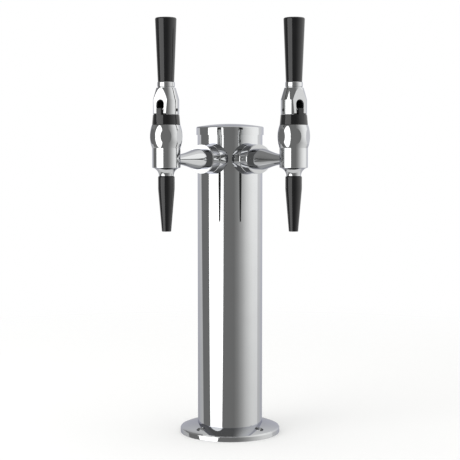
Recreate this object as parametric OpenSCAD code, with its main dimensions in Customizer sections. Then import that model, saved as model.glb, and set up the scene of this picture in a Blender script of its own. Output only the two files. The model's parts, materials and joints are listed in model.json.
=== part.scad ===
// Drink dispensing tower: a polished column on a round flange that carries two cold-drink
// faucets. Each faucet hangs on a shank that passes through the column wall, and a lever that
// rocks on the faucet's guide collar lifts a valve stem. Millimetres, +Z up, and the origin is
// on the counter under the middle of the column. The faucets point towards -Y.

/* [Base flange] */
// Width of the base flange outside the column
flange_reach = 20.65; // [18:0.05:30]
// Thickness of the base flange at its rim
flange_t = 6; // [5:0.5:12]
// Height that the flange's top climbs from its rim to the column
flange_rise = 5.6; // [2:0.1:8]
// Radius on the upper edge of the base flange
flange_edge_r = 1.2; // [0.4:0.1:2]
// Depth of the socket that the column stands in
socket_depth = 3; // [1.5:0.5:4]
// Width of the ledge that the column stands on, round the passage for the drink lines
passage_ledge = 5.1; // [2:0.1:8]
// Distance of the bolt holes from the flange's rim
bolt_edge = 10.75; // [8:0.05:12]
// Number of bolt holes
bolt_count = 4; // [3:1:6]
// Diameter of a bolt hole
bolt_hole_d = 5.5; // [4:0.5:7]
// Diameter of the countersink of a bolt hole
bolt_head_d = 10; // [8:0.5:11]

/* [Column] */
// Outside diameter of the column
column_d = 76.2; // [74:0.1:80]
// Wall thickness of the column
column_wall = 1.5; // [1:0.1:2.5]
// Height of the column's top edge above the counter
column_top = 355.6; // [250:0.1:420]

/* [Cap] */
// Wall thickness of the cap
cap_wall = 1.3; // [1:0.1:2.5]
// Length of the cap's skirt that overlaps the column
cap_overlap = 4.1; // [2:0.1:10]
// Height of the cap from its lower edge to the top of its crown
cap_h = 13; // [11:0.1:24]
// Radius of the crown's dome
cap_crown_r = 220; // [120:1:400]
// Radius on the outer edge of the crown
cap_edge_r = 1.5; // [0.5:0.1:3]
// Length of the rubber ring that plugs the column under the cap
plug_len = 7; // [4:0.5:20]
// Wall thickness of the rubber ring
plug_wall = 2.4; // [1.5:0.1:4]

/* [Arms] */
// Angle of each faucet to the side of straight ahead
splay = 31.5; // [30:0.5:45]
// Space between the shank collar and the cap or its rubber ring above it
arm_space = 6.6; // [2:0.1:40]
// Outside diameter of the shank's thread
shank_d = 22.2; // [20:0.1:23]
// Diameter of the drink passage through the shank and the tail
bore_d = 6.4; // [4:0.1:7]
// Diameter of the shank collar where it meets the column
saddle_d = 36; // [32:0.1:40]
// Diameter of the shank collar at its outer end
collar_end_d = 33.2; // [30:0.1:38]
// Length of the shank collar outside the column
shank_collar_len = 9.9; // [6:0.1:20]
// Diameter of the saddle washer inside the column
washer_d = 29; // [28:0.5:31]
// Least thickness of the saddle washer
washer_t = 1.5; // [1:0.1:2.5]
// Size across the flats of the shank nut
shank_nut_af = 27; // [25.5:0.5:29]
// Thickness of the shank nut
shank_nut_t = 4.5; // [3:0.1:5]
// Length of the shank behind its nut
shank_stub = 3; // [1:0.1:4]

/* [Drop tubes] */
// Outside diameter of the drop tube
tube_d = 8; // [7.5:0.1:9]
// Wall thickness of the drop tube
tube_wall = 1; // [0.5:0.1:1.5]
// Radius of the drop tube's bend, on its centre line
tube_bend_r = 12; // [9:0.1:13]
// Depth of the socket in the shank that holds the drop tube
tube_socket = 6; // [4:0.1:10]
// Height of the drop tube's lower end above the counter
tube_end_h = 14; // [2:1:60]
// Diameter of the hose spigot at the drop tube's lower end
spigot_hose_d = 6.35; // [5.5:0.05:7.4]
// Length of the hose spigot
spigot_hose_len = 25; // [15:1:40]
// Diameter of the passage through the hose spigot
spigot_hose_bore = 4.4; // [3:0.1:4.8]

/* [Coupling] */
// Diameter of the coupling nut
nut_d = 33.4; // [30:0.1:38]
// Length of the coupling nut
nut_len = 14.3; // [12:0.1:24]
// Thickness of the coupling nut's inner flange
nut_flange_t = 3; // [2:0.1:5]
// Chamfer on the ends of the shank collar and of the coupling nut
ring_chamfer = 0.7; // [0.3:0.1:1.2]
// Diameter of the faucet's spigot inside the coupling nut
spigot_d = 18; // [16:0.1:19]
// Thickness of the ring that keeps the coupling nut on the spigot
keeper_t = 1.7; // [1:0.1:2.5]
// Thickness of the gasket between the shank and the spigot
gasket_t = 1.5; // [1:0.1:3]

/* [Faucet body] */
// Length of the tail, from its rim to the faucet axis
tail_len = 69.7; // [55:0.1:90]
// Diameter of the tail's rim
tail_rim_d = 32.8; // [28:0.1:36]
// Length of the tail's rim
tail_rim_len = 0.6; // [0.5:0.1:3]
// Diameter of the tail's straight root in front of its rim
root_d = 23.6; // [20:0.1:26]
// Length of the tail's straight root
root_len = 7; // [2:0.1:12]
// Diameter of the tail where it enters the barrel
tail_end_d = 10.4; // [9.5:0.1:14]
// Diameter of the lower barrel
barrel_d = 30.75; // [29:0.05:33]
// Length of the barrel below the shank axis
barrel_below = 9; // [8:0.1:14]
// Length of the barrel above the shank axis
barrel_above = 12.7; // [9:0.1:20]
// Height of the swollen part of the barrel
bulb_h = 25; // [20:0.1:40]
// Height of the swelling over the barrel's side
bulb_swell = 2.2; // [1:0.1:4]
// Depth of the six wrench flats in the middle of the swollen part
bulb_flat = 1; // [0.4:0.1:2]
// Bevel on the lower edge of the barrel
barrel_bevel = 1; // [0.4:0.1:2]
// Diameter of the valve chamber
chamber_d = 14; // [12:0.1:18]
// Thickness of the barrel's floor under the valve chamber
floor_t = 6; // [4:0.1:7]
// Diameter of the outlet under the valve seat
outlet_d = 7; // [4:0.1:8]
// Height of the cone under the barrel
neck_h = 8.5; // [5:0.1:14]
// Diameter of the cone at the barrel
neck_top_d = 23.6; // [18:0.1:26]
// Diameter of the cone at the spout
neck_end_d = 16; // [14.5:0.1:18]
// Height of the straight ring at the foot of the cone
neck_land = 2.2; // [1:0.1:3]
// Diameter of the nipple that the spout screws on
nipple_d = 12; // [10:0.1:13]
// Length of the nipple
nipple_len = 9; // [6:0.1:12]

/* [Guide collar] */
// Height of the guide collar above the barrel
guide_h = 10.9; // [7:0.1:18]
// Diameter of the guide collar at its top
guide_top_d = 28.7; // [28.4:0.1:34]
// Diameter of the guide collar's plug in the barrel
guide_plug_d = 20; // [17:0.1:22]
// Length of the guide collar's plug
guide_plug_len = 8; // [6:0.1:12]
// Height of the collar's front tongue
tongue_h = 6.8; // [4:0.1:8]
// Thickness of the collar's front tongue
tongue_t = 1.9; // [1.2:0.1:2.8]
// Height of the stop blocks at either side of the tongue
stop_h = 1.4; // [0.6:0.1:2.5]
// Space between the tongue and each stop block
stop_space = 1.8; // [1:0.1:2.5]
// Height of the packing ring round the stem
packing_h = 3; // [2:0.1:4]
// Radial thickness of the packing ring
packing_t = 2; // [1:0.1:3]

/* [Stem] */
// Diameter of the valve stem
stem_d = 6; // [4.5:0.1:6.5]
// Diameter of the stem's eye, over its round top
eye_d = 11.4; // [8:0.1:12]
// Depth of the eye's flat foot below the pivot pin
eye_foot = 4.2; // [3:0.1:4.5]
// Width of the stem's eye
eye_w = 7; // [6:0.1:8]
// Diameter of the valve head
head_d = 11; // [9:0.1:11.5]
// Height of the valve head
head_h = 5.4; // [3:0.1:8]
// Thickness of the seat washer under the valve head
seat_t = 1.5; // [1:0.1:3]
// Diameter of the stud that holds the seat washer
seat_stud_d = 4; // [3:0.1:5]

/* [Lever] */
// Diameter of the lever bonnet
bonnet_d = 28.3; // [27.5:0.1:34]
// Height of the bonnet's straight side
bonnet_side_h = 16.1; // [13:0.1:24]
// Height of the bonnet's cone
bonnet_cone_h = 12.6; // [11:0.1:24]
// Diameter of the bonnet at its top
bonnet_top_d = 20.8; // [18:0.1:26]
// Distance of the bonnet's front flat from the faucet axis, at its lower edge
flat_dist = 12; // [11:0.1:12.6]
// Angle that the front flat leans back
flat_lean = 3; // [0:0.5:5]
// Height of the pivot pin above the guide collar
pin_rise = 5; // [4.6:0.1:7]
// Diameter of the pivot pin
pin_d = 2.5; // [2:0.1:3.5]
// Depth of the pin's ends below the bonnet's side
pin_recess = 1.2; // [0.6:0.1:3]
// Width of the arched window in the bonnet
window_w = 10; // [9:0.1:12]
// Height of the window's arch centre above the pivot pin
window_rise = 6.3; // [5:0.1:7]
// Thickness of the plastic liner in the window
liner_t = 0.8; // [0.5:0.1:1.2]
// Depth of the liner's front edge behind the lower edge of the flat
liner_recess = 1.4; // [1.2:0.1:4]
// Diameter of the ferrule between the bonnet and the handle
ferrule_d = 19; // [16:0.1:22]
// Height of the ferrule
ferrule_h = 6.2; // [4:0.1:12]
// Depth of the groove at the foot of the ferrule
ferrule_groove = 0.5; // [0.2:0.1:1]
// Diameter of the handle at the ferrule
handle_low_d = 17.75; // [14:0.05:22]
// Largest diameter of the handle
handle_top_d = 23.2; // [18:0.1:30]
// Height of the handle
handle_h = 69.7; // [50:0.1:110]
// Radius on the upper edge of the handle
handle_edge_r = 1.8; // [0.8:0.1:4]
// Rise of the handle's domed end
handle_dome = 0.8; // [0.3:0.1:2]
// Diameter of the stud that joins the handle to the bonnet
stud_d = 7; // [5:0.1:8]
// Length of the stud inside the handle
stud_up = 22; // [12:1:40]
// Length of the stud inside the bonnet
stud_down = 7; // [5:0.1:7.5]

/* [Spout] */
// Diameter of the spout at its top
spout_d = 18.15; // [17.5:0.05:22]
// Diameter of the spout's tip
spout_tip_d = 10.2; // [9.4:0.1:14]
// Length of the spout
spout_len = 60.3; // [45:0.1:90]
// Length of the spout's straight part
spout_straight = 14; // [12:0.1:20]
// Radius on the spout's upper edge
spout_edge_r = 1; // [0.4:0.1:2]
// Diameter of the spout's bore
spout_bore_d = 7; // [5:0.1:7.4]
// Thickness of the restrictor disc
disc_t = 1.2; // [0.8:0.1:2]
// Diameter of the small holes in the restrictor disc
disc_hole_d = 0.8; // [0.5:0.1:1.2]
// Number of small holes round the restrictor disc
disc_holes = 5; // [4:1:8]
// Length of the flow straightener in the spout
straightener_len = 22; // [12:1:30]
// Thickness of the flow straightener's vanes
vane_t = 0.8; // [0.5:0.1:1.2]
// Height of the rubber ring between the neck and the spout
spout_seal_h = 1.5; // [1:0.1:3]
// Radial thickness of the rubber ring between the neck and the spout
spout_seal_t = 1.3; // [0.8:0.1:1.5]

/* [Clearances] */
// Radial clearance between fixed pieces that fit together
fit_gap = 0.05; // [0.02:0.01:0.1]
// Radial clearance of sliding and turning pieces
run_gap = 0.05; // [0.02:0.01:0.1]
// Gap between faces of fixed pieces that are drawn up together
joint_gap = 0.1; // [0.05:0.05:0.3]
// Gap at rest between the lever and the guide collar
rest_gap = 0.25; // [0.15:0.05:0.5]
// Gap at rest under the seat washer and under the cap's ring
seat_gap = 0.1; // [0.05:0.05:0.3]
// Side clearance of the stem's eye in the bonnet's slot
slot_gap = 0.4; // [0.3:0.05:1]
// Side clearance of the tongue in the bonnet's slot
tongue_gap = 0.6; // [0.4:0.05:1]
// Clearance in front of the bonnet's flat
flat_gap = 0.4; // [0.3:0.05:1]
// Clearance behind the stem's eye in the bonnet's pocket
pocket_gap = 0.6; // [0.4:0.05:1]

/* [Hidden] */
$fn = 96;
hex_sides = 6;
small_fn = 24;
arc_steps = 14;
tail_steps = 28;
tail_bias = 0.7;
overcut = 1;
steel = "#cfd2d6";
black = "#262626";
rubber = "#3b3b3d";
plastic = "#d9d8d0";
left = -1;
right = 1;

// Radii of the column, the flange, the cap and the shank
column_r = column_d / 2;
column_in_r = column_r - column_wall;
flange_r = column_r + flange_reach;
hub_z = flange_t + flange_rise;
cap_r = column_r + fit_gap + cap_wall;
cap_low = column_top - cap_overlap;
shank_r = shank_d / 2;
shank_h = column_top - max(plug_len, cap_overlap) - arm_space - saddle_d / 2;

// Distances along the arm, from the column axis outwards
washer_s = sqrt(pow(column_in_r, 2) - pow(washer_d / 2, 2)) - washer_t;
shank_in_s = washer_s - joint_gap - shank_nut_t - shank_stub;
collar_end_s = column_r + shank_collar_len;
nut_s = collar_end_s + joint_gap;
nut_end_s = nut_s + nut_len;
tail_s = nut_end_s + joint_gap;
keeper_s = nut_end_s - nut_flange_t - joint_gap - keeper_t;
spigot_s = keeper_s - joint_gap;
shank_out_s = spigot_s - gasket_t;
reach = tail_s + tail_len;
tube_s = shank_in_s - tube_bend_r;

// Heights at the faucet, from the shank axis upwards
barrel_z = -barrel_below;
seat_z = barrel_z + floor_t;
bulb_z = barrel_above;
guide_z = bulb_z + bulb_h;
guide_top_z = guide_z + guide_h;
packing_z = guide_z - guide_plug_len + packing_t;
bonnet_z = guide_top_z + rest_gap;
pin_z = guide_top_z + pin_rise;
shoulder_z = pin_z + window_rise / 2;
arch_z = pin_z + window_rise;
cone_z = bonnet_z + bonnet_side_h;
ferrule_z = cone_z + bonnet_cone_h;
handle_z = ferrule_z + ferrule_h;
handle_end_z = handle_z + handle_h;
neck_z = barrel_z - neck_h;
nipple_z = neck_z - nipple_len;
disc_z = nipple_z - joint_gap - disc_t;
tip_z = neck_z - joint_gap - spout_len;
head_z = seat_z + seat_gap + seat_t;

// Widths that follow from the stem's eye, and the arc of the swollen part
slot_w = eye_w + 2 * slot_gap;
tongue_w = slot_w - 2 * tongue_gap;
pocket_back = eye_d / 2 + pocket_gap + liner_t;
bulb_d = barrel_d + 2 * bulb_swell;
bulb_arc_r = (pow(bulb_h / 2, 2) + pow(bulb_swell, 2)) / (2 * bulb_swell);

// Points on an arc about a centre, from one angle to another
function arc(centre, r, from, to, steps = arc_steps) = [
    for (i = [0:steps])
        let (a = from + (to - from) * i / steps)
            centre + r * [cos(a), sin(a)]
];

// Radius of the tail at a share of its length, from the end of its root to the barrel
function tail_r(share) =
    tail_end_d / 2 + (root_d - tail_end_d) / 4 * (1 + cos(180 * pow(share, tail_bias)));

// Place a faucet's own frame: x points outwards along the arm and the origin is on the shank axis
module on_arm(side) {
    rotate([0, 0, -90 + side * splay])
        translate([reach, 0, shank_h])
            children();
}

// Turn a profile of radius and distance from the column axis about the shank axis
module turned_on_arm(points) {
    translate([-reach, 0, 0])
        rotate([0, 90, 0])
            rotate_extrude()
                polygon(points);
}

// A straight round bar along the arm between two distances from the column axis
module bar_on_arm(r, from, to) {
    translate([from - reach, 0, 0])
        rotate([0, 90, 0])
            cylinder(r = r, h = to - from);
}

// An upright solid of the column's outline, seen from a faucet's own frame
module column_core(r) {
    translate([-reach, 0, -shank_h])
        cylinder(r = r, h = column_top);
}

// A ring about the faucet axis
module ring(inner_r, outer_r, low, high) {
    translate([0, 0, low])
        difference() {
            cylinder(r = outer_r, h = high - low);
            translate([0, 0, -overcut])
                cylinder(r = inner_r, h = high - low + 2 * overcut);
        }
}

// The top slopes, so each countersink lies level with the lower side of its screw head
module base_flange() {
    slope = atan(flange_rise / flange_reach);
    edge = arc([flange_r - flange_edge_r, flange_t - flange_edge_r], flange_edge_r, 0, 90 - slope);
    outline = concat([[0, 0], [flange_r, 0]], edge, [[column_r, hub_z], [0, hub_z]]);
    sink_h = (bolt_head_d - bolt_hole_d) / 2;
    sink_z = flange_t + (bolt_edge - bolt_head_d / 2) * tan(slope);
    color(steel)
        difference() {
            rotate_extrude()
                polygon(outline);
            translate([0, 0, -overcut])
                cylinder(r = column_r - passage_ledge, h = hub_z + 2 * overcut);
            translate([0, 0, flange_t - socket_depth])
                cylinder(r = column_r + fit_gap, h = socket_depth + flange_rise + overcut);
            for (i = [0:bolt_count - 1])
                rotate([0, 0, 360 * (i + 0.5) / bolt_count])
                    translate([flange_r - bolt_edge, 0, 0]) {
                        translate([0, 0, -overcut])
                            cylinder(d = bolt_hole_d, h = hub_z + 2 * overcut);
                        translate([0, 0, sink_z - sink_h])
                            cylinder(d1 = bolt_hole_d, d2 = bolt_head_d, h = sink_h);
                        translate([0, 0, sink_z])
                            cylinder(d = bolt_head_d, h = hub_z);
                    }
        }
}

module column() {
    foot_z = flange_t - socket_depth;
    color(steel)
        difference() {
            ring(column_in_r, column_r, foot_z, column_top);
            for (side = [left, right])
                on_arm(side)
                    bar_on_arm(shank_r + fit_gap, shank_in_s, column_r + overcut);
        }
}

module top_cap() {
    dome_z = cap_low + cap_h - cap_crown_r;
    edge_r = cap_r - cap_edge_r;
    edge_z = dome_z + sqrt(pow(cap_crown_r - cap_edge_r, 2) - pow(edge_r, 2));
    edge_slope = asin(edge_r / (cap_crown_r - cap_edge_r));
    edge = arc([edge_r, edge_z], cap_edge_r, 0, 90 - edge_slope);
    crown = arc([0, dome_z], cap_crown_r, 90 - edge_slope, 90);
    ledge_z = column_top + seat_gap + plug_lip();
    inner_r = column_r - cap_wall;
    inner_crown_r = cap_crown_r - cap_wall;
    inner_slope = asin(inner_r / inner_crown_r);
    hollow = arc([0, dome_z], inner_crown_r, 90 - inner_slope, 90);
    color(steel)
        difference() {
            rotate_extrude()
                polygon(concat([[0, cap_low], [cap_r, cap_low]], edge, crown));
            rotate_extrude()
                polygon(concat([[0, cap_low - overcut], [inner_r, cap_low - overcut]], hollow));
            translate([0, 0, cap_low - overcut])
                cylinder(r = column_r + fit_gap, h = ledge_z - cap_low + overcut);
        }
}

// Thickness of the lip that the cap's ring has over the column's top edge
function plug_lip() = plug_wall / 2;

module cap_ring() {
    plug_r = column_in_r - run_gap;
    lip_z = column_top + seat_gap;
    color(rubber) {
        ring(plug_r - plug_wall, plug_r, column_top - plug_len, lip_z + plug_lip());
        ring(plug_r - plug_wall, column_r, lip_z, lip_z + plug_lip());
    }
}

module shank() {
    color(steel)
        difference() {
            bar_on_arm(shank_r, shank_in_s, shank_out_s);
            bar_on_arm(bore_d / 2, shank_in_s - overcut, shank_out_s + overcut);
            bar_on_arm(tube_d / 2 + fit_gap, shank_in_s - overcut, shank_in_s + tube_socket);
        }
}

module shank_collar() {
    hole_r = shank_r + fit_gap;
    end_r = collar_end_d / 2;
    color(steel)
        difference() {
            turned_on_arm([
                [hole_r, 0],
                [saddle_d / 2, 0],
                [saddle_d / 2, column_r],
                [end_r, collar_end_s - ring_chamfer],
                [end_r - ring_chamfer, collar_end_s],
                [hole_r, collar_end_s]
            ]);
            column_core(column_r + fit_gap);
        }
}

module saddle_washer() {
    color(plastic)
        intersection() {
            difference() {
                bar_on_arm(washer_d / 2, washer_s, column_r);
                bar_on_arm(shank_r + fit_gap, washer_s - overcut, column_r + overcut);
            }
            column_core(column_in_r - fit_gap);
        }
}

module shank_nut() {
    corner_r = shank_nut_af / 2 / cos(180 / hex_sides);
    color(steel)
        translate([washer_s - joint_gap - shank_nut_t - reach, 0, 0])
            rotate([0, 90, 0])
                difference() {
                    cylinder(r = corner_r, h = shank_nut_t, $fn = hex_sides);
                    translate([0, 0, -overcut])
                        cylinder(r = shank_r + fit_gap, h = shank_nut_t + 2 * overcut);
                }
}

// The upper end lies in the shank's socket, and the tube bends down inside the column
module drop_tube() {
    outer_r = tube_d / 2;
    inner_r = outer_r - tube_wall;
    drop = shank_h - tube_end_h - tube_bend_r;
    color(steel)
        translate([tube_s - reach, 0, -tube_bend_r]) {
            ring(inner_r, outer_r, spigot_hose_len + tube_wall - drop, 0);
            ring(spigot_hose_bore / 2, outer_r, spigot_hose_len - drop, spigot_hose_len + tube_wall - drop);
            ring(spigot_hose_bore / 2, spigot_hose_d / 2, -drop, spigot_hose_len - drop);
            translate([tube_bend_r, 0, 0])
                rotate([90, 0, 0])
                    rotate_extrude(angle = 90, start = 90)
                        translate([tube_bend_r, 0])
                            difference() {
                                circle(r = outer_r);
                                circle(r = inner_r);
                            }
            translate([tube_bend_r, 0, tube_bend_r])
                rotate([0, 90, 0])
                    ring(inner_r, outer_r, 0, tube_socket - joint_gap);
        }
}

module coupling_nut() {
    outer_r = nut_d / 2;
    thread_r = shank_r + fit_gap;
    hole_r = spigot_d / 2 + fit_gap;
    step_s = nut_end_s - nut_flange_t;
    color(steel)
        turned_on_arm([
            [thread_r, nut_s],
            [outer_r - ring_chamfer, nut_s],
            [outer_r, nut_s + ring_chamfer],
            [outer_r, nut_end_s - ring_chamfer],
            [outer_r - ring_chamfer, nut_end_s],
            [hole_r, nut_end_s],
            [hole_r, step_s],
            [thread_r, step_s]
        ]);
}

module keeper_ring() {
    color(steel)
        difference() {
            bar_on_arm(shank_r - fit_gap, keeper_s, keeper_s + keeper_t);
            bar_on_arm(spigot_d / 2 + fit_gap, keeper_s - overcut, keeper_s + keeper_t + overcut);
        }
}

module tail_gasket() {
    color(rubber)
        difference() {
            bar_on_arm(spigot_d / 2, shank_out_s, spigot_s);
            bar_on_arm(bore_d / 2, shank_out_s - overcut, spigot_s + overcut);
        }
}

// The barrel's swollen part is an arc, and the cone under the barrel carries the spout's nipple
module barrel() {
    mid_z = bulb_z + bulb_h / 2;
    centre_r = bulb_d / 2 - bulb_arc_r;
    sweep = asin(bulb_h / 2 / bulb_arc_r);
    bulb = arc([centre_r, mid_z], bulb_arc_r, -sweep, sweep);
    rotate_extrude()
        polygon(concat(
            [
                [0, nipple_z],
                [nipple_d / 2, nipple_z],
                [nipple_d / 2, neck_z],
                [neck_end_d / 2, neck_z],
                [neck_end_d / 2, neck_z + neck_land],
                [neck_top_d / 2, barrel_z - barrel_bevel],
                [barrel_d / 2 - barrel_bevel, barrel_z],
                [barrel_d / 2, barrel_z + barrel_bevel / 2]
            ],
            bulb,
            [[0, guide_z]]
        ));
}

// The tail widens from the barrel to a straight root that stands on its flat rim, and its spigot
// reaches into the coupling nut
module tail() {
    face_s = tail_s + tail_rim_len;
    flare_s = face_s + root_len;
    flare_len = reach - barrel_d / 2 - flare_s;
    flare = [
        for (i = [0:tail_steps])
            [tail_r(i / tail_steps), flare_s + flare_len * i / tail_steps]
    ];
    turned_on_arm(concat(
        [
            [0, spigot_s],
            [spigot_d / 2, spigot_s],
            [spigot_d / 2, tail_s],
            [tail_rim_d / 2, tail_s],
            [tail_rim_d / 2, face_s],
            [root_d / 2, face_s]
        ],
        flare,
        [[tail_end_d / 2, reach], [0, reach]]
    ));
}

module faucet_body() {
    plug_z = guide_z - guide_plug_len;
    color(steel)
        difference() {
            union() {
                barrel();
                tail();
            }
            for (i = [1:hex_sides])
                rotate([0, 0, 360 * (i - 0.5) / hex_sides])
                    translate([bulb_d / 2 - bulb_flat, -bulb_d / 2, bulb_z])
                        cube([bulb_d, bulb_d, bulb_h]);
            translate([0, 0, seat_z])
                cylinder(d = chamber_d, h = guide_z - seat_z);
            translate([0, 0, plug_z])
                cylinder(d = guide_plug_d, h = guide_plug_len + overcut);
            translate([0, 0, nipple_z - overcut])
                cylinder(d = outlet_d, h = seat_z - nipple_z + 2 * overcut);
            bar_on_arm(bore_d / 2, spigot_s - overcut, reach);
        }
}

module guide_collar() {
    top_r = guide_top_d / 2;
    front = flat_dist + flat_gap;
    hole_r = stem_d / 2 + run_gap;
    block_y = tongue_w / 2 + stop_space;
    block_w = sqrt(pow(top_r, 2) - pow(front, 2)) - block_y;
    root_z = guide_z + guide_h / 2;
    color(black)
        difference() {
            union() {
                rotate_extrude()
                    polygon([
                        [0, guide_z - guide_plug_len],
                        [guide_plug_d / 2 - fit_gap, guide_z - guide_plug_len],
                        [guide_plug_d / 2 - fit_gap, guide_z],
                        [barrel_d / 2, guide_z],
                        [top_r, guide_top_z],
                        [0, guide_top_z]
                    ]);
                translate([front, -tongue_w / 2, root_z])
                    cube([tongue_t, tongue_w, guide_h / 2 + tongue_h]);
                intersection() {
                    for (side = [left, right])
                        translate([front, side * (block_y + block_w / 2) - block_w / 2, root_z])
                            cube([top_r, block_w, guide_h / 2 + stop_h]);
                    translate([0, 0, guide_z])
                        cylinder(r = top_r, h = guide_h + stop_h);
                }
            }
            translate([0, 0, guide_z - guide_plug_len - overcut])
                cylinder(r = hole_r, h = guide_plug_len + guide_h + 2 * overcut);
            translate([0, 0, packing_z])
                cylinder(r = hole_r + packing_t, h = packing_h);
        }
}

module stem_packing() {
    inner_r = stem_d / 2 + run_gap;
    color(rubber)
        ring(inner_r, inner_r + packing_t - fit_gap, packing_z, packing_z + packing_h);
}

module valve_stem() {
    color(steel)
        difference() {
            union() {
                translate([0, 0, seat_z + seat_gap])
                    cylinder(d = seat_stud_d, h = seat_t + overcut);
                translate([0, 0, head_z])
                    cylinder(d = head_d, h = head_h);
                translate([0, 0, head_z])
                    cylinder(d = stem_d, h = pin_z - head_z);
                translate([0, 0, pin_z])
                    intersection() {
                        rotate([90, 0, 0])
                            cylinder(d = eye_d, h = eye_w, center = true);
                        translate([-eye_d / 2, -eye_w / 2, -eye_foot])
                            cube([eye_d, eye_w, eye_foot + eye_d / 2]);
                    }
            }
            translate([0, 0, pin_z])
                rotate([90, 0, 0])
                    cylinder(r = pin_d / 2 + run_gap, h = eye_w + overcut, center = true);
        }
}

module seat_washer() {
    color(rubber)
        ring(seat_stud_d / 2 + fit_gap, head_d / 2, seat_z + seat_gap, head_z);
}

// The window's outline, seen from the front, with the narrow slot for the stem below it
module window_outline() {
    translate([0, arch_z])
        circle(d = window_w);
    polygon([
        [-slot_w / 2, bonnet_z - overcut],
        [slot_w / 2, bonnet_z - overcut],
        [slot_w / 2, pin_z],
        [window_w / 2, shoulder_z],
        [window_w / 2, arch_z],
        [-window_w / 2, arch_z],
        [-window_w / 2, shoulder_z],
        [-slot_w / 2, pin_z]
    ]);
}

module lever_bonnet() {
    side_r = bonnet_d / 2;
    color(steel)
        difference() {
            rotate_extrude()
                polygon([
                    [0, bonnet_z],
                    [side_r, bonnet_z],
                    [side_r, cone_z],
                    [bonnet_top_d / 2, ferrule_z],
                    [0, ferrule_z]
                ]);
            translate([flat_dist, -side_r, bonnet_z])
                rotate([0, -flat_lean, 0])
                    translate([0, 0, -overcut])
                        cube([side_r, bonnet_d, ferrule_z - bonnet_z + 2 * overcut]);
            translate([-pocket_back, 0, 0])
                rotate([90, 0, 90])
                    linear_extrude(pocket_back + side_r)
                        window_outline();
            translate([0, 0, pin_z])
                rotate([90, 0, 0])
                    cylinder(r = pin_d / 2 + fit_gap / 2, h = bonnet_d + overcut, center = true);
            translate([0, 0, ferrule_z - stud_down])
                cylinder(r = stud_d / 2 + fit_gap, h = stud_down + overcut);
        }
}

// The part of the window above the slot, drawn in from its edge
module liner_outline(inset, low) {
    half_w = window_w / 2 - inset;
    translate([0, arch_z])
        intersection() {
            circle(r = half_w);
            translate([-half_w, -overcut])
                square([2 * half_w, half_w + overcut]);
        }
    translate([-half_w, low])
        square([2 * half_w, arch_z - low]);
}

// A black cup behind the window that closes the pocket round the top of the stem's eye
module window_liner() {
    depth = pocket_back + flat_dist - liner_recess;
    color(black)
        translate([fit_gap - pocket_back, 0, 0])
            rotate([90, 0, 90])
                difference() {
                    linear_extrude(depth - fit_gap)
                        liner_outline(fit_gap, shoulder_z);
                    translate([0, 0, liner_t - fit_gap])
                        linear_extrude(depth)
                            liner_outline(liner_t, shoulder_z - overcut);
                }
}

module pivot_pin() {
    color(steel)
        translate([0, 0, pin_z])
            rotate([90, 0, 0])
                cylinder(d = pin_d, h = bonnet_d - 2 * pin_recess, center = true);
}

module ferrule() {
    outer_r = ferrule_d / 2;
    hole_r = stud_d / 2 + fit_gap;
    groove_h = 2 * ferrule_groove;
    color(steel)
        rotate_extrude()
            polygon([
                [hole_r, ferrule_z],
                [outer_r - ferrule_groove, ferrule_z],
                [outer_r - ferrule_groove, ferrule_z + groove_h],
                [outer_r, ferrule_z + groove_h + ferrule_groove],
                [outer_r, handle_z - ferrule_groove],
                [outer_r - ferrule_groove, handle_z],
                [hole_r, handle_z]
            ]);
}

module handle_stud() {
    color(steel)
        translate([0, 0, ferrule_z - stud_down + joint_gap])
            cylinder(d = stud_d, h = stud_down + ferrule_h + stud_up - 2 * joint_gap);
}

module handle() {
    edge_z = handle_end_z - handle_dome - handle_edge_r;
    edge = arc([handle_top_d / 2 - handle_edge_r, edge_z], handle_edge_r, 0, 90);
    dome_r = (pow(handle_top_d / 2 - handle_edge_r, 2) + pow(handle_dome, 2)) / (2 * handle_dome);
    dome_half = asin((handle_top_d / 2 - handle_edge_r) / dome_r);
    dome = arc([0, handle_end_z - dome_r], dome_r, 90 - dome_half, 90);
    color(black)
        difference() {
            rotate_extrude()
                polygon(concat([[0, handle_z], [handle_low_d / 2, handle_z]], edge, dome));
            translate([0, 0, handle_z - overcut])
                cylinder(r = stud_d / 2 + fit_gap, h = stud_up + overcut);
        }
}

module spout_seal() {
    seal_r = nipple_d / 2 + fit_gap;
    color(rubber)
        ring(seal_r, seal_r + spout_seal_t, neck_z - joint_gap - spout_seal_h, neck_z - joint_gap);
}

module restrictor_disc() {
    color(steel)
        translate([0, 0, disc_z])
            difference() {
                cylinder(d = nipple_d, h = disc_t);
                for (i = [0:disc_holes - 1])
                    rotate([0, 0, 360 * i / disc_holes])
                        translate([spout_bore_d / 4, 0, -overcut])
                            cylinder(d = disc_hole_d, h = disc_t + 2 * overcut, $fn = small_fn);
            }
}

module flow_straightener() {
    vane_w = spout_bore_d - 2 * fit_gap;
    color(plastic)
        translate([0, 0, disc_z - joint_gap - straightener_len])
            intersection() {
                cylinder(d = vane_w, h = straightener_len);
                for (a = [0, 90])
                    rotate([0, 0, a])
                        translate([-vane_w / 2, -vane_t / 2, 0])
                            cube([vane_w, vane_t, straightener_len]);
            }
}

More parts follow.
